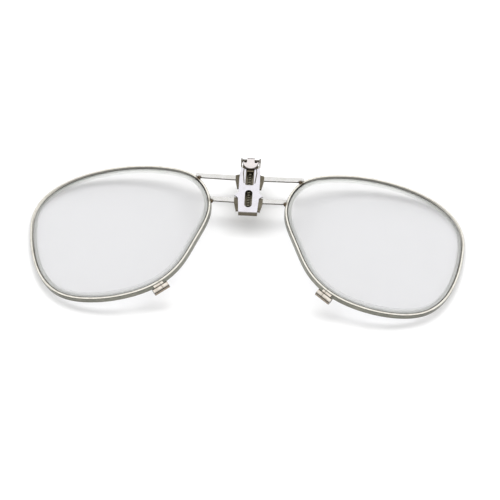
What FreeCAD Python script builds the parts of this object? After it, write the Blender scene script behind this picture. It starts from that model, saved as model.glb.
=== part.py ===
"""Flip-up lens pair on a small centre clip.

Two thin grooved eyewires hold clear lenses. Four flat bars join them to a stamped bracket, and a front
plate crimped over the bracket carries a hinge pin. A half-round tongue flips about that pin, held open or
closed by a spring-loaded plunger that presses on flats of the tongue's knuckle.

The assembly lies front side up. X runs from the left lens to the right one, +Y to the top of the lenses
and +Z out of the front. The model is drawn about the middle of the lenses, and then moved as a whole so
that the origin is the centre of the resting footprint.
"""
import FreeCAD, Part
import math
import os

V = FreeCAD.Vector

# ---------------------------------------------------------------- driving dimensions, mm and degrees
lens_width = 49.0            # boxed width of the opening in the rim
lens_height = 41.0           # boxed height of the opening in the rim
bridge_gap = 22.7            # between the two openings, at their nearest
wrap_angle = 8.0             # each lens turns back toward its temple by this much
lens_curve_radius = 200.0    # both lens faces and the rims follow this sphere
lens_thickness = 1.8

rim_wall = 0.9               # radial thickness of the eyewire
rim_depth = 1.9              # front to back
rim_chamfer = 0.1
rim_lip = 0.35               # slope from each face of the rim in to the lens
groove_depth = 0.4
groove_width = 1.1
bevel_width = 1.5            # where the ground bevel starts on the lens edge
bevel_inset = 1.1            # how far inside the opening the flat lens face ends
bevel_blend = 0.05           # the bevel starts this far behind the front face of the lens
lens_clearance = 0.12        # the bevel stands this far in from the rim and its groove

closing_place = 0.635        # place of the rim split, as a share of the way round from the temple
rim_slit = 0.12              # width of the split
barrel_radius = 1.0
barrel_length = 4.6          # both half barrels together
barrel_lower_share = 0.6     # of that length on the temple side of the split
barrel_standoff = 1.5        # barrel axis from the outside of the rim, in barrel radii
barrel_foot_width = 1.3      # front to back, block between barrel and rim
barrel_foot_inset = 0.8      # that block starts this far in from the temple end of the barrel
screw_radius = 0.6
screw_head_radius = 0.8
screw_head_depth = 0.7
screw_slot_width = 0.2
screw_slot_depth = 0.25
screw_clearance = 0.04

plate_length = 14.2          # front plate; its top edge is level with the tops of the openings
plate_width_top = 5.5
plate_width_middle = 5.8
plate_width_bottom = 5.2
plate_thickness = 0.4
plate_rise = 1.3             # front of the plate in front of the middle of the bars
ear_width = 8.0              # over the tips of both ears
ear_top = 7.5                # below the top edge of the plate
ear_tip = 9.1
ear_bottom = 10.0
window_width = 2.35
window_length = 5.5
window_corner = 0.35
slot_width = 2.1
slot_length = 5.6
slot_top = 7.1               # below the top edge of the plate
relief_slit_width = 0.26
relief_slit_length = 4.9
relief_slit_top_x = 1.75
relief_slit_bow_x = 1.87     # widest place, a third of the way down
relief_slit_bottom_x = 1.5

box_depth = 2.1              # front of the plate to the back of the bracket
bracket_wall = 0.4
bracket_setback = 0.05       # bracket ends this far short of the roots of the hinge lugs
guide_length = 1.2           # the channel runs this far past the plate's top edge, between the lugs
guide_width = 4.5
floor_width = 6.0
channel_width = 1.9
flange_reach = 4.0           # half the width over the bar flanges
flange_foot = 3.35           # the same at their lower ends
flange_thickness = 0.45
upper_flange_top = 1.8       # below the top edge of the plate
upper_flange_length = 4.4
lower_flange_top = 9.1
lower_flange_length = 4.3

bar_width = 1.5
bar_thickness = 0.55
bar_slant = 0.45             # the rim end sits this much nearer the top than the clip end
bar_corner = 0.1
bar_seat = 0.9               # the square end is this far past where the lower edge meets the rim
braze_radius = 0.55

lug_thickness = 0.35
lug_radius = 0.85            # round end of the lug about the pin
lug_root = 0.3               # how far the lug runs down the plate's edge
pin_radius = 0.45
pin_above_edge = 2.5         # pin centre beyond the plate's top edge
pin_below_front = 0.2        # pin centre behind the plate's front face
pin_fit = 0.01               # radial gap in the lugs
pin_clearance = 0.03         # radial gap in the knuckle
pin_dome = 0.08              # ends of the pin beyond the lugs
pin_end_radius = 0.07        # rounding of those ends

knuckle_wall = 0.45
knuckle_flat = 0.8           # detent flats, from the pin's axis
neck_width = 2.1
tongue_radius = 2.25
tongue_thickness = 0.4
tongue_root = 1.75           # straight edge of the half round, beyond the plate's top edge
tongue_camber = 0.12         # the half round's front edge is eased by this much
relief_radius = 0.42

plunger_length = 2.6
plunger_clearance = 0.06
plunger_nose_gap = 0.03      # from the corner of the knuckle's flats as it passes
plunger_sink = 0.05          # top of the plunger behind the plate's front face
plunger_travel = 0.3
spigot_radius = 0.32
spigot_length = 0.9
spring_outer_radius = 0.6
spring_wire_radius = 0.1
spring_turns = 14
spring_gap = 0.05            # between the spring and what it pushes on

# Outline of a right lens opening in shares of half its boxed width and height, from the temple round
# over the top to the nose and back under. A closed smooth curve runs through these points.
OUTLINE = (
    (1.00, 0.13), (0.87, 0.585), (0.56, 0.83), (0.22, 0.95), (-0.14, 1.00), (-0.50, 0.975),
    (-0.82, 0.84), (-1.00, 0.41), (-0.875, -0.12), (-0.71, -0.52), (-0.47, -0.795), (-0.15, -0.95),
    (0.25, -1.00), (0.62, -0.89), (0.82, -0.65), (0.945, -0.29),
)
OUTLINE_SAMPLES = 64         # spans of each curve that is drawn parallel to the outline

# ---------------------------------------------------------------- small helpers
def box(x0, x1, y0, y1, z0, z1):
    return Part.makeBox(x1 - x0, y1 - y0, z1 - z0, V(x0, y0, z0))


def prism(points, z0, z1):
    """Extrude a closed polygon given in X and Y from z0 up to z1."""
    wire = Part.makePolygon([V(x, y, z0) for x, y in points + [points[0]]])
    return Part.Face(wire).extrude(V(0, 0, z1 - z0))


def mirrored(shape):
    return shape.mirror(V(0, 0, 0), V(1, 0, 0))


def both_sides(points):
    """Close a polygon by repeating its right-hand points on the left, in reverse."""
    return points + [(-x, y) for x, y in reversed(points)]


def in_lens_frame(shape):
    """Move a shape drawn about a right lens, its front along +Z, to its place in the assembly."""
    placed = shape.copy()
    placed.rotate(V(0, 0, 0), V(0, 1, 0), wrap_angle)
    placed.translate(V(bridge_gap / 2 + lens_width / 2 * math.cos(math.radians(wrap_angle)), 0, 0))
    return placed


# ---------------------------------------------------------------- lens outline
def outline_curve():
    points = [V(u * lens_width / 2, v * lens_height / 2, 0) for u, v in OUTLINE]
    curve = Part.BSplineCurve()
    curve.interpolate(Points=points, PeriodicFlag=True)
    return curve


OUTLINE_CURVE = outline_curve()


def outline_frame(share):
    """Point, tangent and outward normal at a share of the way round the opening."""
    first = OUTLINE_CURVE.FirstParameter
    last = OUTLINE_CURVE.LastParameter
    place = first + share * (last - first)
    tangent = OUTLINE_CURVE.tangent(place)[0]
    return OUTLINE_CURVE.value(place), tangent, V(tangent.y, -tangent.x, 0)


def sphere_height(point, level):
    """Height of the sphere that lies `level` in front of the middle one, above a point of the lens."""
    radius = lens_curve_radius + level
    return math.sqrt(radius ** 2 - point.x ** 2 - point.y ** 2) - lens_curve_radius


def bridge_level():
    """Height of the middle of the rim at its point nearest the nose, once the lens is in place."""
    point = min((outline_frame(number / OUTLINE_SAMPLES)[0] for number in range(OUTLINE_SAMPLES)),
                key=lambda place: place.x)
    return in_lens_frame(Part.Vertex(V(point.x, point.y, sphere_height(point, 0)))).Point.z


def parallel_edge(offset, level=None):
    """Closed curve `offset` outside the opening, flat at zero or on the sphere at a level."""
    points = []
    for number in range(OUTLINE_SAMPLES):
        point, _, outward = outline_frame(number / OUTLINE_SAMPLES)
        place = point + outward * offset
        height = 0 if level is None else sphere_height(place, level)
        points.append(V(place.x, place.y, height))
    curve = Part.BSplineCurve()
    curve.interpolate(Points=points, PeriodicFlag=True)
    return curve.toShape()


def ring(section):
    """Solid ring round the opening from its cross-section: a list of (offset, level) corners."""
    edges = [parallel_edge(offset, level) for offset, level in section]
    faces = []
    for number, edge in enumerate(edges):
        faces.append(Part.makeRuledSurface(edge, edges[(number + 1) % len(edges)]))
    return Part.Solid(Part.Shell(faces))


def outline_prism(offset):
    """Straight block with the outline's shape, far taller than the rim."""
    reach = lens_width / 4
    face = Part.Face(Part.Wire([parallel_edge(offset)]))
    face.translate(V(0, 0, -reach))
    return face.extrude(V(0, 0, 2 * reach))


# ---------------------------------------------------------------- derived places
plate_top_y = lens_height / 2
bar_z = bridge_level()
plate_front_z = bar_z + plate_rise
plate_back_z = plate_front_z - plate_thickness
bracket_back_z = plate_front_z - box_depth
floor_front_z = bracket_back_z + bracket_wall
plate_bottom_y = plate_top_y - plate_length
pin_y = plate_top_y + pin_above_edge
pin_z = plate_front_z - pin_below_front
knuckle_bore = pin_radius + pin_clearance
knuckle_radius = knuckle_bore + knuckle_wall
lug_outer_x = plate_width_top / 2
bracket_top_y = plate_top_y - lug_root - bracket_setback
channel_end_y = plate_bottom_y + plate_thickness + bracket_wall
plunger_nose_y = pin_y - knuckle_radius - plunger_nose_gap
channel_middle_z = (plate_back_z + floor_front_z) / 2
guide_top_y = plate_top_y + guide_length


# ---------------------------------------------------------------- eyewires and lenses
def split_tool(width):
    """Thin slab across the rim at the closing place, normal to the wire."""
    point, tangent, outward = outline_frame(closing_place)
    reach = 4 * rim_wall
    depth = 3 * rim_depth
    slab = Part.makeBox(width, 2 * reach, depth, V(-width / 2, -reach, -depth / 2))
    slab.rotate(V(0, 0, 0), V(0, 0, 1), math.degrees(math.atan2(tangent.y, tangent.x)))
    slab.translate(V(point.x, point.y, sphere_height(point, 0)) + outward * rim_wall / 2)
    return slab


def eyewire():
    half = rim_depth / 2
    groove = groove_width / 2
    section = [
        (rim_lip, half), (rim_wall - rim_chamfer, half), (rim_wall, half - rim_chamfer),
        (rim_wall, rim_chamfer - half), (rim_wall - rim_chamfer, -half), (rim_lip, -half),
        (0, rim_lip - half), (0, -groove), (groove_depth, 0), (0, groove), (0, half - rim_lip),
    ]
    return ring(section).cut(split_tool(rim_slit))


def lens():
    half = lens_thickness / 2
    outer = Part.makeSphere(lens_curve_radius + half, V(0, 0, -lens_curve_radius))
    inner = Part.makeSphere(lens_curve_radius - half, V(0, 0, -lens_curve_radius))
    disc = outline_prism(-bevel_inset).common(outer).cut(inner)
    front = half - bevel_blend
    back = -bevel_width / 2
    inside = -2 * bevel_inset
    start = -bevel_inset - bevel_blend
    section = [
        (inside, front), (start, front), (-lens_clearance, groove_width / 2),
        (groove_depth - lens_clearance, 0), (-lens_clearance, -groove_width / 2), (start, back),
        (inside, back),
    ]
    return disc.fuse(ring(section)).removeSplitter()


# ---------------------------------------------------------------- closing blocks
def in_barrel_frame(shape):
    """Move a shape drawn at the origin to the barrel's place: +X to the nose, +Y away from the lens."""
    point, tangent, outward = outline_frame(closing_place)
    away = math.degrees(math.atan2(outward.y, outward.x)) - 90
    distance = rim_wall + barrel_radius * barrel_standoff
    placed = shape.copy()
    placed.rotate(V(0, 0, 0), V(0, 0, 1), away)
    placed.translate(V(point.x, point.y, sphere_height(point, 0)) + outward * distance)
    return placed


def barrel_half(start, end, bore_radius, foot_start, foot_end):
    """Half barrel along X with a foot that reaches in to the rim."""
    tube = Part.makeCylinder(barrel_radius, end - start, V(start, 0, 0), V(1, 0, 0))
    inward = barrel_radius * barrel_standoff + rim_wall / 2
    half = barrel_foot_width / 2
    foot = box(foot_start, foot_end, -inward, 0, -half, half)
    body = tube.fuse(foot).removeSplitter()
    return body.cut(Part.makeCylinder(bore_radius, end - start, V(start, 0, 0), V(1, 0, 0)))


def closing_lower():
    """Temple-side half, clear bore and counterbore for the screw head."""
    length = barrel_length * barrel_lower_share
    half_gap = rim_slit / 2
    foot_start = barrel_foot_inset - length
    body = barrel_half(-length, -half_gap, screw_radius + screw_clearance, foot_start, -half_gap)
    head = Part.makeCylinder(screw_head_radius + screw_clearance, screw_head_depth,
                             V(-length, 0, 0), V(1, 0, 0))
    return in_barrel_frame(body.cut(head)).cut(outline_prism(rim_wall))


def closing_upper():
    """Nose-side half. The rim curves away from it, so that its foot is short."""
    length = barrel_length * (1 - barrel_lower_share)
    half_gap = rim_slit / 2
    body = barrel_half(half_gap, length, screw_radius, half_gap, length / 2)
    return in_barrel_frame(body).cut(outline_prism(rim_wall))


def closing_screw():
    lower = barrel_length * barrel_lower_share
    upper = barrel_length * (1 - barrel_lower_share)
    shank_start = screw_head_depth - lower
    shank = Part.makeCylinder(screw_radius, upper - shank_start, V(shank_start, 0, 0), V(1, 0, 0))
    head = Part.makeCylinder(screw_head_radius, screw_head_depth, V(-lower, 0, 0), V(1, 0, 0))
    half = screw_slot_width / 2
    slot = box(-lower, screw_slot_depth - lower, -barrel_radius, barrel_radius, -half, half)
    return in_barrel_frame(shank.fuse(head).cut(slot).removeSplitter())


# ---------------------------------------------------------------- bridge bars
def bar_blank(top_y):
    """Flat bar from the bracket flange out over the lens, rising slightly toward the rim."""
    inner_x = flange_reach
    outer_x = (bridge_gap + lens_width) / 2
    half = bar_thickness / 2
    outline = [
        (inner_x, top_y), (inner_x, top_y - bar_width),
        (outer_x, top_y - bar_width + bar_slant), (outer_x, top_y + bar_slant),
    ]
    bar_solid = prism(outline, bar_z - half, bar_z + half)
    long_edges = [edge for edge in bar_solid.Edges if edge.Length > outer_x - inner_x]
    return bar_solid.makeChamfer(bar_corner, long_edges)


def seat_corner(piece):
    """The corner where the lower edge of a bar meets the rim."""
    outer_end = [vertex.Point for vertex in piece.Vertexes if vertex.X > flange_reach + bar_width]
    return min(outer_end, key=lambda point: point.y)


def bar(top_y, rim_block):
    """Bar trimmed to the outside of the rim, its end cut square a little past the seat corner."""
    trimmed = bar_blank(top_y).cut(rim_block)
    end_x = seat_corner(trimmed).x + bar_seat
    reach = bar_width + bar_slant
    return trimmed.common(box(0, end_x, top_y - reach, top_y + reach, bar_z - reach, bar_z + reach))


def braze_fillet(piece, rim_block):
    """Bead of braze under the corner where a bar meets the rim."""
    corner = seat_corner(piece)
    along_bar = V(1, 0, 0)
    ball = Part.makeSphere(braze_radius, V(corner.x, corner.y, bar_z), along_bar)
    bead = ball.cut(rim_block).cut(piece)
    return max(bead.Solids, key=lambda solid: solid.Volume)


# ---------------------------------------------------------------- bridge bracket
def flange(top, length):
    """Flared tab on the right of the channel, sloping from under the plate down to the bars."""
    start_x = floor_width / 2 - bracket_wall
    section = [
        V(start_x, 0, plate_back_z), V(start_x, 0, plate_back_z - 2 * flange_thickness),
        V(flange_reach, 0, bar_z - bar_thickness / 2), V(flange_reach, 0, bar_z + bar_thickness / 2),
    ]
    slope = Part.Face(Part.makePolygon(section + [section[0]])).extrude(V(0, -length, 0))
    slope.translate(V(0, plate_top_y - top, 0))
    bottom = plate_top_y - top - length
    outline = [
        (start_x, bottom), (flange_foot, bottom), (flange_reach, bottom + length - bar_width),
        (flange_reach, bottom + length), (start_x, bottom + length),
    ]
    return slope.common(prism(outline, bracket_back_z, plate_front_z))


def bridge_bracket():
    """Open channel behind the plate: floor, two walls, an end wall, a narrow guide and four flanges."""
    half = floor_width / 2 - bracket_wall / 2
    lower_half = plate_width_bottom / 2
    outline = both_sides([
        (half, bracket_top_y), (half, plate_bottom_y + lower_half), (lower_half, plate_bottom_y),
    ])
    block = prism(outline, bracket_back_z, plate_back_z)
    guide = box(-guide_width / 2, guide_width / 2, bracket_top_y, guide_top_y, bracket_back_z, plate_back_z)
    channel = box(-channel_width / 2, channel_width / 2, channel_end_y, guide_top_y,
                  floor_front_z, plate_back_z)
    body = block.fuse(guide).cut(channel)
    for top, length in ((upper_flange_top, upper_flange_length), (lower_flange_top, lower_flange_length)):
        tab = flange(top, length)
        body = body.fuse(tab).fuse(mirrored(tab))
    return body.removeSplitter()


# ---------------------------------------------------------------- clip front plate
def plate_outline():
    """Plate seen from the front, without its ears."""
    middle = plate_top_y - ear_top / 2
    return both_sides([
        (plate_width_top / 2, plate_top_y), (plate_width_middle / 2, middle),
        (plate_width_middle / 2, plate_top_y - ear_bottom), (plate_width_bottom / 2, plate_bottom_y),
    ])


def ear():
    """Pointed ear on the right: a straight upper edge and a hollow lower one."""
    inner_x = plate_width_middle / 2 - plate_thickness
    tip_x = ear_width / 2
    blank = prism([
        (inner_x, plate_top_y - ear_top), (tip_x, plate_top_y - ear_tip), (inner_x, plate_top_y - ear_bottom),
    ], plate_back_z, plate_front_z)
    hollow = ear_bottom - ear_tip
    scoop = Part.makeCylinder(hollow, plate_thickness, V(tip_x, plate_top_y - ear_bottom, plate_back_z))
    return blank.cut(scoop)


def lug():
    """Right hinge lug: a tapered arm that ends in a round eye about the pin."""
    inner_x = lug_outer_x - lug_thickness
    root_y = plate_top_y - lug_root
    arm = Part.makePolygon([
        V(inner_x, root_y, plate_back_z), V(inner_x, pin_y, pin_z - lug_radius),
        V(inner_x, pin_y, pin_z + lug_radius), V(inner_x, root_y, plate_front_z),
        V(inner_x, root_y, plate_back_z),
    ])
    side = Part.Face(arm).extrude(V(lug_thickness, 0, 0))
    eye = Part.makeCylinder(lug_radius, lug_thickness, V(inner_x, pin_y, pin_z), V(1, 0, 0))
    return side.fuse(eye)


def relief_slit():
    """Bowed slit on the right that frees a springy strip beside the window."""
    half = relief_slit_width / 2
    middle = [
        (relief_slit_top_x, plate_top_y), (relief_slit_bow_x, plate_top_y - relief_slit_length / 3),
        (relief_slit_bottom_x, plate_top_y - relief_slit_length),
    ]
    outer = [(x + half, y) for x, y in middle]
    inner = [(x - half, y) for x, y in reversed(middle)]
    return prism(outer + inner, plate_back_z, plate_front_z)


def slot_block(width, length, top, z0, z1):
    """Block with round ends, its upper end `top` below the plate's top edge."""
    radius = width / 2
    upper = plate_top_y - top - radius
    lower = plate_top_y - top - length + radius
    block = box(-radius, radius, lower, upper, z0, z1)
    for centre in (upper, lower):
        block = block.fuse(Part.makeCylinder(radius, z1 - z0, V(0, centre, z0)))
    return block.removeSplitter()


def window_block():
    """Block for the upper window, open at the plate's top edge and rounded at its lower corners."""
    half = window_width / 2
    block = box(-half, half, plate_top_y - window_length, plate_top_y, plate_back_z, plate_front_z)
    corners = [
        edge for edge in block.Edges
        if edge.BoundBox.ZLength > plate_thickness / 2 and edge.CenterOfMass.y < plate_top_y - half
    ]
    return block.makeFillet(window_corner, corners)


def clip_front_plate():
    body = prism(plate_outline(), plate_back_z, plate_front_z).cut(window_block())
    body = body.cut(slot_block(slot_width, slot_length, slot_top, plate_back_z, plate_front_z))
    body = body.cut(relief_slit()).cut(mirrored(relief_slit()))
    for side in (ear(), lug(), mirrored(ear()), mirrored(lug())):
        body = body.fuse(side)
    start = V(-lug_outer_x, pin_y, pin_z)
    bore = Part.makeCylinder(pin_radius + pin_fit, plate_width_top, start, V(1, 0, 0))
    return body.cut(bore).removeSplitter()


# ---------------------------------------------------------------- hinge
def hinge_pin():
    """Straight pin with slightly domed ends."""
    half = lug_outer_x + pin_dome
    pin = Part.makeCylinder(pin_radius, 2 * half, V(-half, pin_y, pin_z), V(1, 0, 0))
    rims = [edge for edge in pin.Edges if isinstance(edge.Curve, Part.Circle)]
    return pin.makeFillet(pin_end_radius, rims)


def tongue_leaf(back, front):
    """Half-round leaf with an eased front edge and a small round relief beside each side of the neck."""
    root_y = plate_top_y + tongue_root
    disc = Part.makeCylinder(tongue_radius, tongue_thickness, V(0, root_y, back))
    front_rim = [
        edge for edge in disc.Edges
        if isinstance(edge.Curve, Part.Circle) and edge.CenterOfMass.z > (back + front) / 2
    ]
    disc = disc.makeChamfer(tongue_camber, front_rim)
    leaf = disc.cut(box(-tongue_radius, tongue_radius, root_y, root_y + tongue_radius, back, front))
    for side in (-1, 1):
        place = V(side * (neck_width / 2 + relief_radius), root_y, back)
        leaf = leaf.cut(Part.makeCylinder(relief_radius, tongue_thickness, place))
    return leaf


def clip_tongue():
    """Knuckle round the pin, a narrow neck, and the half-round leaf in front of the window."""
    half_neck = neck_width / 2
    front = pin_z + knuckle_radius
    back = front - tongue_thickness
    reach = 2 * knuckle_radius
    start = V(-half_neck, pin_y, pin_z)
    knuckle = Part.makeCylinder(knuckle_radius, neck_width, start, V(1, 0, 0))
    below = box(-half_neck, half_neck, pin_y - reach, pin_y - knuckle_flat, pin_z - reach, pin_z)
    behind = box(-half_neck, half_neck, pin_y - reach, pin_y + reach, pin_z - reach, pin_z - knuckle_flat)
    neck = box(-half_neck, half_neck, plate_top_y + tongue_root - relief_radius, pin_y, back, front)
    body = knuckle.cut(below).cut(behind).fuse(neck).fuse(tongue_leaf(back, front))
    return body.cut(Part.makeCylinder(knuckle_bore, neck_width, start, V(1, 0, 0))).removeSplitter()


def detent_plunger():
    """Block that slides in the channel; its nose faces the knuckle and a spigot holds the spring."""
    half = channel_width / 2 - plunger_clearance
    back = floor_front_z + plunger_clearance
    tail_y = plunger_nose_y - plunger_length
    block = box(-half, half, tail_y, plunger_nose_y, back, plate_front_z - plunger_sink)
    spigot = Part.makeCylinder(spigot_radius, spigot_length, V(0, tail_y, channel_middle_z), V(0, -1, 0))
    return block.fuse(spigot).removeSplitter()


def detent_spring():
    """Coil spring along the channel, from its end wall to just short of the plunger's travel."""
    start_y = channel_end_y + spring_gap + spring_wire_radius
    end_y = plunger_nose_y - plunger_length - plunger_travel - spring_gap - spring_wire_radius
    coil_radius = spring_outer_radius - spring_wire_radius
    length = end_y - start_y
    helix = Part.makeHelix(length / spring_turns, length, coil_radius)
    section = Part.Wire([Part.makeCircle(spring_wire_radius, V(coil_radius, 0, 0), V(0, 1, 0))])
    coil = Part.Wire(helix).makePipeShell([section], True, True)
    coil.rotate(V(0, 0, 0), V(1, 0, 0), -90)
    coil.translate(V(0, start_y, channel_middle_z))
    return coil


# ---------------------------------------------------------------- assembly
def lens_side():
    """Every piece of the right-hand lens, in its place."""
    rim_block = in_lens_frame(outline_prism(rim_wall))
    upper_bar = bar(plate_top_y - upper_flange_top, rim_block)
    lower_bar = bar(plate_top_y - lower_flange_top, rim_block)
    beads = [braze_fillet(piece, rim_block) for piece in (upper_bar, lower_bar)]
    return {
        "eyewire": in_lens_frame(eyewire()),
        "lens": in_lens_frame(lens()),
        "closing_block_lower": in_lens_frame(closing_lower()),
        "closing_block_upper": in_lens_frame(closing_upper()),
        "closing_screw": in_lens_frame(closing_screw()),
        "upper_bar": upper_bar,
        "lower_bar": lower_bar,
        "braze_fillets": Part.makeCompound(beads),
    }


def build():
    nodes = {
        "bridge_bracket": bridge_bracket(),
        "clip_front_plate": clip_front_plate(),
        "hinge_pin": hinge_pin(),
        "clip_tongue": clip_tongue(),
        "detent_plunger": detent_plunger(),
        "detent_spring": detent_spring(),
    }
    for name, shape in lens_side().items():
        nodes["right_" + name] = shape
        nodes["left_" + name] = mirrored(shape)
    return nodes


def main():
    os.makedirs("parts", exist_ok=True)
    nodes = build()
    bounds = Part.makeCompound(list(nodes.values())).optimalBoundingBox(False)
    to_rest = V(0, -(bounds.YMin + bounds.YMax) / 2, -bounds.ZMin)
    for name, shape in nodes.items():
        shape.translate(to_rest)
        shape.exportStep("parts/" + name + ".step")


main()
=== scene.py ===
"""Flip-up lens pair on a centre clip, finished for rendering.

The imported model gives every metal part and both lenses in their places. This file gives each of them its
surface: rolled, stamped and soldered nickel silver, steel small parts, and clear ground lenses. It also
sets out a pale table, soft studio light and the camera.
"""
import math

import bmesh
import bpy
import numpy
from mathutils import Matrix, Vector


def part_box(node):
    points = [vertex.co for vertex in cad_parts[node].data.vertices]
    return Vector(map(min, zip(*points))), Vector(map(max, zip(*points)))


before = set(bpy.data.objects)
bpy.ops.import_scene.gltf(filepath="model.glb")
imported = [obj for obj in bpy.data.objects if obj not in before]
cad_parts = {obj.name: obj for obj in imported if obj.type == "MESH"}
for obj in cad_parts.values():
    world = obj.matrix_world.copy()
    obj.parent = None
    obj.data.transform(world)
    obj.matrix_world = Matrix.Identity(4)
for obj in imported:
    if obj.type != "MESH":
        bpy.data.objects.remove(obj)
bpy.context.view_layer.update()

bl_info = {
    "name": "Flip Lens Clip",
    "version": (1, 0, 0),
    "blender": (4, 5, 0),
    "location": "View3D > Sidebar > Lens Clip",
    "description": "Finishes a pair of flip-up lenses on a centre clip",
    "category": "Object",
}

SIDES = ("left", "right")
MM = 0.001

# Lenses; lengths in millimetres.
WRAP = math.radians(8.0)         # each lens turns back toward its temple by this much
FRONT_FACING = 0.985             # cosine within which a facet belongs to the front face of a lens
LENS_THICKNESS = 1.8
POLISHED_SKIN = 0.07             # the faces are polished down to this depth
GROUND_DEPTH = 0.11              # and fully ground from this depth
GROUND_ROUGHNESS = 0.55
GRIT_SIZE = 0.4
RING_DEPTH = 0.3                 # how strongly the rings stand out from the grit
RING_BAND = (0.1, 0.9)
CROWN_INDEX = 1.523              # refractive index of spectacle glass

# Metals; lengths in millimetres.
PATCH_SIZE = 1.6                 # dull patches in the polish
FRONT_BAND = (0.35, 0.8)         # cosine to the front over which the darker painted shade of the sides turns to the face colour
DULL_BAND = (0.42, 0.68)         # noise level over which the polish turns dull
CORNER_BAND = (0.3, 0.9)         # openness over which the painted shade in corners thins out
GRAIN_BAND = (0.3, 0.7)
GRAIN_ROUGHNESS = (0.75, 1.3)    # share of the roughness at the low and the high end of the grain
GRAIN_HEIGHT = 0.02
SHADED_FADE = 0.3
STAIN_EDGE = 0.6                 # size of the lobes along the edge of a heat stain
STAIN_FADE = 1.7                 # the stain is gone at this many times its reach
JOINT_INSET = 0.5                # middle of a soldered joint from the outside of its bead
LUG_ROOT = 2.0                   # from the lower side of the pin down to the roots of its lugs

# Surroundings.
DOME_LEVEL = 0.78
HORIZON_FROM = 0.26              # upward share of a direction where the dome starts to brighten
HORIZON_TO = 0.64                # and where it reaches its full level
HORIZON_LEVEL = 0.02             # share of that level at the horizon
DOME_LOBES = (                   # direction, where the lobe starts and is full, and what it adds
    ((0.1, 0.45, 0.9), 0.35, 0.9, 0.55),
    ((0.0, -0.87, 0.5), 0.75, 0.98, -0.4),
)
TABLE_RADIUS = 0.6
TABLE_SIDES = 96
TABLE_GRAIN = 6.0                # millimetres
TABLE_SHADE = 0.985              # the darker parts of the grain
LAMP_PLACE = (0.0, 0.3, 0.85)
LAMP_SIZE = (1.5, 0.35)
LAMP_POWER = 6.4
AIM_BELOW_BARS = 1.963 * MM      # the camera aims this far below the middle of the bars
SENSOR_WIDTH = 36.0
LENS_SHIFT = (0.0077, -0.025)
NEAR_CLIP = 0.01


# ---------------------------------------------------------------- colour and node helpers
def linear(code):
    """Scene-linear RGBA of an sRGB hex colour."""
    shares = [int(code[place:place + 2], 16) / 255 for place in (1, 3, 5)]
    return tuple(
        share / 12.92 if share <= 0.04045 else ((share + 0.055) / 1.055) ** 2.4 for share in shares
    ) + (1.0,)


def add(tree, kind, values=None, links=None, **settings):
    """Add one node with its settings, input values and incoming links, and return it."""
    made = tree.nodes.new(kind)
    for name, value in settings.items():
        setattr(made, name, value)
    for name, value in (values or {}).items():
        made.inputs[name].default_value = value
    for name, socket in (links or {}).items():
        tree.links.new(socket, made.inputs[name])
    return made


def per_metre(size_mm):
    """Noise scale whose features are about this many millimetres across."""
    return 1000.0 / size_mm


def new_material(name):
    """Empty node material, with its shader and output joined."""
    material = bpy.data.materials.new(name)
    material.use_nodes = True
    tree = material.node_tree
    tree.nodes.clear()
    shader = add(tree, "ShaderNodeBsdfPrincipled")
    add(tree, "ShaderNodeOutputMaterial", links={"Surface": shader.outputs["BSDF"]})
    return material, tree, shader


def noise(tree, size_mm, stretch=(1, 1, 1), detail=3.0):
    """Noise over the object's own coordinates, drawn out along the axes with a stretch below one."""
    place = add(tree, "ShaderNodeTexCoord")
    mapped = add(tree, "ShaderNodeMapping", links={"Vector": place.outputs["Object"]})
    mapped.inputs["Scale"].default_value = stretch
    return add(tree, "ShaderNodeTexNoise", links={"Vector": mapped.outputs["Vector"]},
               values={"Scale": per_metre(size_mm), "Detail": detail, "Roughness": 0.55})


def spread(tree, socket, low, high, to_low=0.0, to_high=1.0):
    """Stretch the band low to high of a value over to_low to to_high."""
    made = add(tree, "ShaderNodeMapRange", links={"Value": socket},
               values={"From Min": low, "From Max": high, "To Min": to_low, "To Max": to_high})
    return made.outputs["Result"]


def blend_colours(tree, factor, first, second):
    """Mix two colours, each a hex code, a colour property or a socket, by a factor socket."""
    made = add(tree, "ShaderNodeMix", data_type="RGBA", links={"Factor": factor})
    for socket, colour in ((made.inputs[6], first), (made.inputs[7], second)):
        if isinstance(colour, bpy.types.NodeSocket):
            tree.links.new(colour, socket)
        elif isinstance(colour, str):
            socket.default_value = linear(colour)
        else:
            socket.default_value = (*colour, 1.0)
    return made.outputs[2]


def facing_front(tree):
    """How squarely the surface faces the front of the object or its back, from 0 to 1."""
    place = add(tree, "ShaderNodeTexCoord")
    square = add(tree, "ShaderNodeVectorMath", operation="DOT_PRODUCT", links={0: place.outputs["Normal"]},
                 values={1: (0.0, 0.0, 1.0)})
    return add(tree, "ShaderNodeMath", operation="ABSOLUTE", links={0: square.outputs["Value"]}).outputs[0]


# ---------------------------------------------------------------- metals
def distance_to(tree, point):
    """Distance from a point, in millimetres, with the left half of the object read as the right."""
    place = add(tree, "ShaderNodeTexCoord")
    scaled = add(tree, "ShaderNodeVectorMath", operation="MULTIPLY", links={0: place.outputs["Object"]},
                 values={1: (1 / MM, 1 / MM, 1 / MM)})
    parts = add(tree, "ShaderNodeSeparateXYZ", links={"Vector": scaled.outputs[0]})
    across = add(tree, "ShaderNodeMath", operation="ABSOLUTE", links={0: parts.outputs["X"]})
    right = add(tree, "ShaderNodeCombineXYZ", links={"X": across.outputs[0], "Y": parts.outputs["Y"],
                                                     "Z": parts.outputs["Z"]})
    apart = add(tree, "ShaderNodeVectorMath", operation="DISTANCE", links={0: right.outputs["Vector"]},
                values={1: Vector(point) / MM})
    return apart.outputs["Value"]


def height_along(tree):
    """Place along the object's Y axis, in millimetres."""
    place = add(tree, "ShaderNodeTexCoord")
    parts = add(tree, "ShaderNodeSeparateXYZ", links={"Vector": place.outputs["Object"]})
    return add(tree, "ShaderNodeMath", operation="MULTIPLY", links={0: parts.outputs["Y"]},
               values={1: 1 / MM}).outputs[0]


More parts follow.
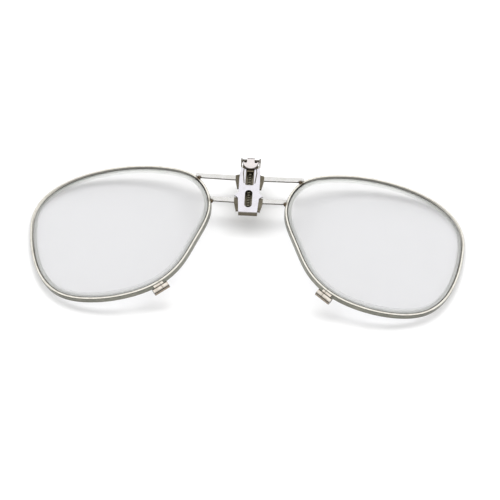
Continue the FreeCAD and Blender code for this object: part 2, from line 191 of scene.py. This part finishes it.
def joint_points():
    """Where the bars of the right-hand lens are soldered to its eyewire."""
    low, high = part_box("right_braze_fillets")
    inset = JOINT_INSET * MM
    middle = (low.z + high.z) / 2
    return ((high.x - inset, high.y - inset, middle), (low.x + inset, low.y + inset, middle))


def heat_stain(tree, colour, points, reach_mm, stain):
    """Brown the colour round each soldered joint, in an uneven patch."""
    edge = noise(tree, STAIN_EDGE)
    for point in points:
        wander = add(tree, "ShaderNodeMath", operation="MULTIPLY_ADD", links={0: edge.outputs["Fac"]},
                     values={1: reach_mm})
        tree.links.new(distance_to(tree, point), wander.inputs[2])
        near = spread(tree, wander.outputs[0], reach_mm, reach_mm * STAIN_FADE, 1.0, 0.0)
        colour = blend_colours(tree, near, colour, stain)
    return colour


def metal(name, face, shaded_flank, roughness, grain_mm, stretch=(1, 1, 1), bump=0.1, dull="#8A8275", tarnish=0.25,
          painted_shade=0.6, painted_shade_reach=0.6, painted_shade_colour="#3B3128", stained=(), stain_reach=1.2, shaded_from=None):
    """Bare metal: bright on its front, with painted shade on its edges and in its corners, dull in patches.

    It may be browned near the points in stained, and past shaded_from along Y its front takes the painted
    shade of its edges too.
    """
    material, tree, shader = new_material(name)
    patches = noise(tree, PATCH_SIZE, detail=4.0)
    grain = noise(tree, grain_mm, stretch)
    front = spread(tree, facing_front(tree), *FRONT_BAND)
    # Painted shade: past the given height along Y even the front gets the darker side colour.
    if shaded_from is not None:
        below = spread(tree, height_along(tree), shaded_from / MM, shaded_from / MM + SHADED_FADE, 1.0, 0.0)
        front = add(tree, "ShaderNodeMath", operation="MULTIPLY", links={0: front, 1: below}).outputs[0]
    # Painted shade: where the surface turns away from the front and back, its colour goes to the darker side
    # colour.
    skin = blend_colours(tree, front, shaded_flank, face)
    duller = spread(tree, patches.outputs["Fac"], *DULL_BAND, 0.0, tarnish)
    skin = blend_colours(tree, duller, skin, dull)
    skin = heat_stain(tree, skin, stained, stain_reach, "#5C5040")
    # Painted shade: occlusion darkens corners, creases and recesses toward a dark colour.
    nearness = add(tree, "ShaderNodeAmbientOcclusion", samples=8,
                   values={"Distance": painted_shade_reach * MM})
    corner = spread(tree, nearness.outputs["AO"], *CORNER_BAND, painted_shade, 0.0)
    colour = blend_colours(tree, corner, skin, painted_shade_colour)
    tree.links.new(colour, shader.inputs["Base Color"])
    shader.inputs["Metallic"].default_value = 1.0
    rough = spread(tree, grain.outputs["Fac"], *GRAIN_BAND, *[roughness * share for share in GRAIN_ROUGHNESS])
    tree.links.new(rough, shader.inputs["Roughness"])
    relief = add(tree, "ShaderNodeBump", links={"Height": grain.outputs["Fac"]},
                 values={"Strength": bump, "Distance": GRAIN_HEIGHT * MM})
    tree.links.new(relief.outputs["Normal"], shader.inputs["Normal"])
    return material


def rolled_nickel_silver(face):
    # Nickel-silver wire, rolled to a channel: a polished, faintly yellow front line, side walls painted a
    # darker grey-green as shade, a little painted shade in corners, and a brown bloom where the bars were
    # soldered on.
    return metal("Nickel_silver_rolled_wire", face, "#74746A", 0.2, 0.12, bump=0.06, tarnish=0.3,
                 dull="#A7A396", painted_shade=0.3, painted_shade_reach=0.4, stained=joint_points(), stain_reach=1.1)


def stamped_nickel_silver():
    # Nickel silver blanked from sheet and formed, satin: its dark brown-grey, darker still on its edges, is
    # painted shade and painted reflection of dark surroundings.
    return metal("Nickel_silver_stamped", "#857F70", "#5F584B", 0.36, 0.2, bump=0.12, dull="#57503F",
                 tarnish=0.7, painted_shade=0.2, painted_shade_reach=0.5)


def plated_front(face):
    # Nickel-plated brass sheet, tumbled bright: nearly white with a cool cast and small dents; its edges and
    # the lugs above their roots are painted grey as shade, with painted shade in its corners.
    return metal("Nickel_plate_tumbled", face, "#807B73", 0.26, 0.3, bump=0.14, dull="#C0BBBD",
                 tarnish=0.3, painted_shade=0.75, shaded_from=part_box("hinge_pin")[0].y - LUG_ROOT * MM)


def plated_tongue():
    # Nickel-plated steel leaf, tumbled: softer than the plate under it, tinted a little pinker as painted
    # light on its face, which tilts up toward the lamp, with painted shade on its edges.
    return metal("Nickel_plate_leaf", "#DAD4D3", "#8A8280", 0.3, 0.25, bump=0.12, dull="#C6BEBC",
                 tarnish=0.4)


def turned_nickel_silver():
    # Closing blocks turned from rod and soldered on: ring marks along the barrel, sides painted darker as
    # shade, and dark brown painted shade in the crease at the foot.
    return metal("Nickel_silver_turned", "#D9D2C8", "#857B6C", 0.1, 0.1, stretch=(1, 0.3, 0.3),
                 bump=0.12, tarnish=0.45, painted_shade=0.7, painted_shade_reach=0.4, painted_shade_colour="#2E2219", dull="#9C8C7B")


def flat_bar(face):
    # Flat nickel-silver strip, sheared and polished along its length, its sheared edges painted grey
    # as shade, painted shade in corners, and brown heat marks at the rim.
    return metal("Nickel_silver_strip", face, "#5E5A52", 0.24, 0.15, stretch=(0.15, 1, 1),
                 bump=0.1, dull="#BCB9B0", tarnish=0.35, painted_shade=0.7, stained=joint_points(), stain_reach=0.8)


def screw_steel():
    # Stainless screw, cut and polished, with painted shade darkening its slot and its sides.
    return metal("Stainless_screw", "#A9A49E", "#6B655D", 0.24, 0.08, bump=0.08, painted_shade=0.9)


def pin_steel():
    # Ground stainless pin with rounded ends: dark grey, with heavy painted shade in its corners and on its
    # sides.
    return metal("Stainless_pin", "#6A655D", "#57524A", 0.25, 0.08, stretch=(0.3, 1, 1), bump=0.05,
                 dull="#4C473F", painted_shade=0.85, painted_shade_reach=1.2)


def spring_steel():
    # Oil-tempered spring wire: dark straw grey, slightly glossy.
    return metal("Spring_wire_tempered", "#BAB4A0", "#A8A28E", 0.5, 0.06, bump=0.05, dull="#9A947F",
                 painted_shade=0.1, painted_shade_reach=0.3)


def plunger_steel():
    # Hardened steel plunger, dull in patches: its dark brown-grey is painted shade for the window under the
    # tongue, with more painted shade on its sides and in its corners.
    return metal("Steel_plunger_hardened", "#857B69", "#5E5546", 0.4, 0.15, bump=0.15, dull="#5C5342",
                 painted_shade=0.3, painted_shade_reach=0.5)


def solder():
    # Silver solder, heat-tinted: a brown bead with a wavy skin.
    return metal("Silver_solder_tinted", "#7E6D57", "#5A4B3A", 0.36, 0.35, bump=0.35, dull="#4E3D2B",
                 tarnish=0.9, painted_shade=0.6)


# ---------------------------------------------------------------- lens
def front_sphere(side):
    """Centre and radius of the sphere that the front face of a lens lies on."""
    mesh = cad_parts[side + "_lens"].data
    turn = WRAP if side == "right" else -WRAP
    axis = Vector((math.sin(turn), 0.0, math.cos(turn)))
    facets = [face for face in mesh.polygons if face.normal.dot(axis) > FRONT_FACING]
    front = {index for face in facets for index in face.vertices}
    spots = numpy.array([mesh.vertices[index].co for index in sorted(front)], dtype=float)
    terms = numpy.column_stack((2 * spots, numpy.ones(len(spots))))
    solved = numpy.linalg.lstsq(terms, (spots ** 2).sum(axis=1), rcond=None)[0]
    return Vector(solved[:3]), math.sqrt(solved[3] + (solved[:3] ** 2).sum())


def lens_level(tree, side):
    """Height in front of the middle of the lens, in millimetres, measured square to its faces."""
    centre, radius = front_sphere(side)
    place = add(tree, "ShaderNodeTexCoord")
    apart = add(tree, "ShaderNodeVectorMath", operation="DISTANCE", links={0: place.outputs["Object"]},
                values={1: centre})
    return add(tree, "ShaderNodeMath", operation="MULTIPLY_ADD", links={0: apart.outputs["Value"]},
               values={1: 1 / MM, 2: LENS_THICKNESS / 2 - radius / MM}).outputs[0]


def lens_glass(side, tint, ring_drop):
    # Clear spectacle glass: two polished faces and a ground edge. The ground bevel is grey and matt with
    # fine rings from the grinding wheel; the faces are perfectly smooth and throw hardly any shade.
    material, tree, shader = new_material("Spectacle_glass_polished_" + side)
    shader.inputs["IOR"].default_value = CROWN_INDEX
    shader.inputs["Transmission Weight"].default_value = 1.0
    level = lens_level(tree, side)
    height = add(tree, "ShaderNodeMath", operation="ABSOLUTE", links={0: level}).outputs[0]
    ground = spread(tree, height, LENS_THICKNESS / 2 - POLISHED_SKIN, LENS_THICKNESS / 2 - GROUND_DEPTH)
    turns = add(tree, "ShaderNodeMath", operation="MULTIPLY", links={0: level},
                values={1: 2 * math.pi * MM / ring_drop})
    wheel = add(tree, "ShaderNodeMath", operation="SINE", links={0: turns.outputs[0]})
    grit = noise(tree, GRIT_SIZE)
    rings = add(tree, "ShaderNodeMath", operation="MULTIPLY_ADD", links={0: wheel.outputs[0]},
                values={1: RING_DEPTH})
    tree.links.new(grit.outputs["Fac"], rings.inputs[2])
    ring_tone = blend_colours(tree, spread(tree, rings.outputs[0], *RING_BAND), "#C6C8C4", "#EAEBE7")
    tree.links.new(blend_colours(tree, ground, tint, ring_tone), shader.inputs["Base Color"])
    rough = spread(tree, ground, 0.0, 1.0, 0.0, GROUND_ROUGHNESS)
    tree.links.new(rough, shader.inputs["Roughness"])
    path = add(tree, "ShaderNodeLightPath")
    passing = add(tree, "ShaderNodeMath", operation="MAXIMUM",
                  links={0: path.outputs["Is Shadow Ray"], 1: path.outputs["Is Diffuse Ray"]})
    clear = add(tree, "ShaderNodeBsdfTransparent", values={"Color": linear("#F1F1F2")})
    output = next(made for made in tree.nodes if made.type == "OUTPUT_MATERIAL")
    mixed = add(tree, "ShaderNodeMixShader",
                links={0: passing.outputs[0], 1: shader.outputs["BSDF"], 2: clear.outputs["BSDF"]})
    tree.links.new(mixed.outputs["Shader"], output.inputs["Surface"])
    return material


# ---------------------------------------------------------------- settings
def colour_setting(name, description, code):
    """Colour property whose default is an sRGB hex colour."""
    return bpy.props.FloatVectorProperty(
        name=name, description=description, size=3, subtype="COLOR", default=linear(code)[:3],
        min=0.0, max=1.0)


class LensClipFinish(bpy.types.PropertyGroup):
    """Colours of the metals and the lenses, and the grain of the ground lens edge."""
    wire_colour: colour_setting("Wire colour", "Polished front of the eyewires", "#DEDBD2")
    bar_colour: colour_setting("Bar colour", "Faces of the four bars", "#CFCECC")
    plate_colour: colour_setting("Plate colour", "Plated front of the clip", "#D6D4DA")
    glass_tint: colour_setting("Lens tint", "Colour seen through the lenses", "#E8E8E8")
    ring_drop: bpy.props.FloatProperty(
        name="Grinding ring drop", description="Fall of the ground bevel from one ring to the next",
        default=0.00013, min=0.00002, unit="LENGTH", subtype="DISTANCE")


class LensClipStage(bpy.types.PropertyGroup):
    """Table, light and camera."""
    elevation: bpy.props.FloatProperty(
        name="Elevation", description="Camera height as an angle above the table",
        default=math.radians(60.0), subtype="ANGLE")
    azimuth: bpy.props.FloatProperty(
        name="Azimuth", description="Camera angle about the upright axis, to the right of straight on",
        default=math.radians(3.38), subtype="ANGLE")
    distance: bpy.props.FloatProperty(
        name="Distance", description="Camera to the middle of the lenses",
        default=0.6, min=0.1, unit="LENGTH", subtype="DISTANCE")
    focal: bpy.props.FloatProperty(
        name="Focal length", description="Focal length of the camera in millimetres",
        default=156.06, min=10.0, unit="CAMERA")
    table_colour: colour_setting("Table colour", "Colour of the table", "#F8F8F8")


# ---------------------------------------------------------------- piece helpers
def finish_node(name, material):
    """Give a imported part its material."""
    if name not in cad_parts:
        raise RuntimeError("no packed part is named " + name)
    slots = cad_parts[name].data.materials
    slots.clear()
    slots.append(material)


def finish_pair(stem, material):
    """Give a part and its mirror image the same material."""
    for side in SIDES:
        finish_node(side + "_" + stem, material)


class LENSCLIP_OT_eyewires(bpy.types.Operator):
    """Finish the two rolled eyewires"""
    bl_idname = "lens_clip.eyewires"
    bl_label = "Eyewires"

    def execute(self, context):
        finish_pair("eyewire", rolled_nickel_silver(context.scene.lens_clip_finish.wire_colour))
        return {"FINISHED"}


class LENSCLIP_OT_lenses(bpy.types.Operator):
    """Finish the two lenses"""
    bl_idname = "lens_clip.lenses"
    bl_label = "Lenses"

    def execute(self, context):
        finish = context.scene.lens_clip_finish
        for side in SIDES:
            finish_node(side + "_lens", lens_glass(side, finish.glass_tint, finish.ring_drop))
        return {"FINISHED"}


class LENSCLIP_OT_closing_blocks(bpy.types.Operator):
    """Finish the closing blocks under the lenses and their screws"""
    bl_idname = "lens_clip.closing_blocks"
    bl_label = "Closing blocks"

    def execute(self, context):
        turned = turned_nickel_silver()
        finish_pair("closing_block_lower", turned)
        finish_pair("closing_block_upper", turned)
        finish_pair("closing_screw", screw_steel())
        return {"FINISHED"}


class LENSCLIP_OT_bars(bpy.types.Operator):
    """Finish the four bars between the lenses and the bracket, and the solder at their ends"""
    bl_idname = "lens_clip.bars"
    bl_label = "Bridge bars"

    def execute(self, context):
        strip = flat_bar(context.scene.lens_clip_finish.bar_colour)
        finish_pair("upper_bar", strip)
        finish_pair("lower_bar", strip)
        finish_pair("braze_fillets", solder())
        return {"FINISHED"}


class LENSCLIP_OT_bracket(bpy.types.Operator):
    """Finish the stamped bracket behind the clip"""
    bl_idname = "lens_clip.bracket"
    bl_label = "Bridge bracket"

    def execute(self, context):
        finish_node("bridge_bracket", stamped_nickel_silver())
        return {"FINISHED"}


class LENSCLIP_OT_front_plate(bpy.types.Operator):
    """Finish the plated front of the clip"""
    bl_idname = "lens_clip.front_plate"
    bl_label = "Clip front plate"

    def execute(self, context):
        finish_node("clip_front_plate", plated_front(context.scene.lens_clip_finish.plate_colour))
        return {"FINISHED"}


class LENSCLIP_OT_hinge(bpy.types.Operator):
    """Finish the tongue and the pin it turns on"""
    bl_idname = "lens_clip.hinge"
    bl_label = "Tongue and pin"

    def execute(self, context):
        finish_node("clip_tongue", plated_tongue())
        finish_node("hinge_pin", pin_steel())
        return {"FINISHED"}


class LENSCLIP_OT_detent(bpy.types.Operator):
    """Finish the plunger and its spring"""
    bl_idname = "lens_clip.detent"
    bl_label = "Plunger and spring"

    def execute(self, context):
        finish_node("detent_plunger", plunger_steel())
        finish_node("detent_spring", spring_steel())
        return {"FINISHED"}


# ---------------------------------------------------------------- stage
def back_lamp(aim):
    """Soft strip lamp high behind the object, facing a point. Only its shadows and soft light are seen."""
    lamp = bpy.data.lights.new("Back_strip", "AREA")
    lamp.shape = "RECTANGLE"
    lamp.size, lamp.size_y = LAMP_SIZE
    lamp.energy = LAMP_POWER
    holder = bpy.data.objects.new("Back_strip", lamp)
    holder.location = LAMP_PLACE
    holder.rotation_euler = (aim - Vector(LAMP_PLACE)).to_track_quat("-Z", "Y").to_euler()
    holder.visible_glossy = False
    holder.visible_transmission = False
    bpy.context.scene.collection.objects.link(holder)


def studio_dome():
    """Soft surroundings: brightest high behind the object, darker in front of it and along the horizon."""
    world = bpy.data.worlds.new("Studio_dome")
    world.use_nodes = True
    tree = world.node_tree
    tree.nodes.clear()
    place = add(tree, "ShaderNodeTexCoord")
    level = None
    for direction, low, high, change in DOME_LOBES:
        toward = add(tree, "ShaderNodeVectorMath", operation="DOT_PRODUCT",
                     links={0: place.outputs["Generated"]}, values={1: Vector(direction).normalized()})
        lobe = add(tree, "ShaderNodeMapRange", interpolation_type="SMOOTHSTEP",
                   links={"Value": toward.outputs["Value"]},
                   values={"From Min": low, "From Max": high, "To Min": 0.0, "To Max": change})
        total = add(tree, "ShaderNodeMath", operation="ADD", links={0: lobe.outputs["Result"]},
                    values={1: DOME_LEVEL})
        if level is not None:
            tree.links.new(level, total.inputs[1])
        level = total.outputs[0]
    upward = add(tree, "ShaderNodeSeparateXYZ", links={"Vector": place.outputs["Generated"]})
    rise = spread(tree, upward.outputs["Z"], HORIZON_FROM, HORIZON_TO, HORIZON_LEVEL, 1.0)
    light = add(tree, "ShaderNodeMath", operation="MULTIPLY", links={0: level, 1: rise})
    glow = add(tree, "ShaderNodeBackground", links={"Strength": light.outputs[0]},
               values={"Color": linear("#FFFFFF")})
    add(tree, "ShaderNodeOutputWorld", links={"Surface": glow.outputs["Background"]})
    return world


def table_top(colour):
    """Round table top under the object, slightly uneven in tone."""
    mesh = bpy.data.meshes.new("Table_top")
    shape = bmesh.new()
    bmesh.ops.create_circle(shape, cap_ends=True, segments=TABLE_SIDES, radius=TABLE_RADIUS)
    shape.to_mesh(mesh)
    shape.free()
    table = bpy.data.objects.new("Table_top", mesh)
    bpy.context.scene.collection.objects.link(table)
    # White laminate, moulded matt: even and pale with a very soft grain.
    material, tree, shader = new_material("Laminate_matt_white")
    mottle = noise(tree, TABLE_GRAIN)
    factor = spread(tree, mottle.outputs["Fac"], *GRAIN_BAND)
    pale = blend_colours(tree, factor, colour, [share * TABLE_SHADE for share in colour])
    tree.links.new(pale, shader.inputs["Base Color"])
    shader.inputs["Roughness"].default_value = 0.7
    shader.inputs["Specular IOR Level"].default_value = 0.2
    table.data.materials.append(material)


def aim_camera(stage, aim):
    """Camera at the stage's angles and distance from the point that it faces."""
    flat = math.cos(stage.elevation)
    back = Vector((math.sin(stage.azimuth) * flat, -math.cos(stage.azimuth) * flat,
                   math.sin(stage.elevation)))
    camera = bpy.data.cameras.new("Camera")
    camera.lens = stage.focal
    camera.sensor_width = SENSOR_WIDTH
    camera.shift_x, camera.shift_y = LENS_SHIFT
    camera.clip_start = NEAR_CLIP
    holder = bpy.data.objects.new("Camera", camera)
    holder.location = aim + back * stage.distance
    holder.rotation_euler = (-back).to_track_quat("-Z", "Y").to_euler()
    bpy.context.scene.collection.objects.link(holder)
    bpy.context.scene.camera = holder


class LENSCLIP_OT_stage(bpy.types.Operator):
    """Set out the table, the lamp and the camera"""
    bl_idname = "lens_clip.stage"
    bl_label = "Stage"

    def execute(self, context):
        stage = context.scene.lens_clip_stage
        table_top(stage.table_colour)
        lens_low, lens_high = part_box("left_lens")
        bar_low, bar_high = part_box("left_upper_bar")
        middle = Vector((0.0, (lens_low.y + lens_high.y) / 2, (bar_low.z + bar_high.z) / 2 - AIM_BELOW_BARS))
        aim_camera(stage, middle)
        back_lamp(middle)
        context.scene.world = studio_dome()
        context.scene.view_settings.view_transform = "Standard"
        return {"FINISHED"}


OPERATORS = (
    LENSCLIP_OT_eyewires, LENSCLIP_OT_lenses, LENSCLIP_OT_closing_blocks, LENSCLIP_OT_bars,
    LENSCLIP_OT_bracket, LENSCLIP_OT_front_plate, LENSCLIP_OT_hinge, LENSCLIP_OT_detent, LENSCLIP_OT_stage,
)


class LENSCLIP_PT_panel(bpy.types.Panel):
    """Sidebar panel with one button for each piece"""
    bl_idname = "LENSCLIP_PT_panel"
    bl_label = "Lens Clip"
    bl_space_type = "VIEW_3D"
    bl_region_type = "UI"
    bl_category = "Lens Clip"

    def draw(self, context):
        layout = self.layout
        for group in (context.scene.lens_clip_finish, context.scene.lens_clip_stage):
            for name in group.bl_rna.properties.keys():
                if name not in ("rna_type", "name"):
                    layout.prop(group, name)
        for kind in OPERATORS:
            layout.operator(kind.bl_idname)


CLASSES = (LensClipFinish, LensClipStage) + OPERATORS + (LENSCLIP_PT_panel,)


def register():
    for kind in CLASSES:
        bpy.utils.register_class(kind)
    bpy.types.Scene.lens_clip_finish = bpy.props.PointerProperty(type=LensClipFinish)
    bpy.types.Scene.lens_clip_stage = bpy.props.PointerProperty(type=LensClipStage)


def unregister():
    del bpy.types.Scene.lens_clip_stage
    del bpy.types.Scene.lens_clip_finish
    for kind in reversed(CLASSES):
        bpy.utils.unregister_class(kind)


def main():
    register()
    for kind in OPERATORS:
        group, name = kind.bl_idname.split(".")
        getattr(getattr(bpy.ops, group), name)()


if __name__ == "__main__":
    main()
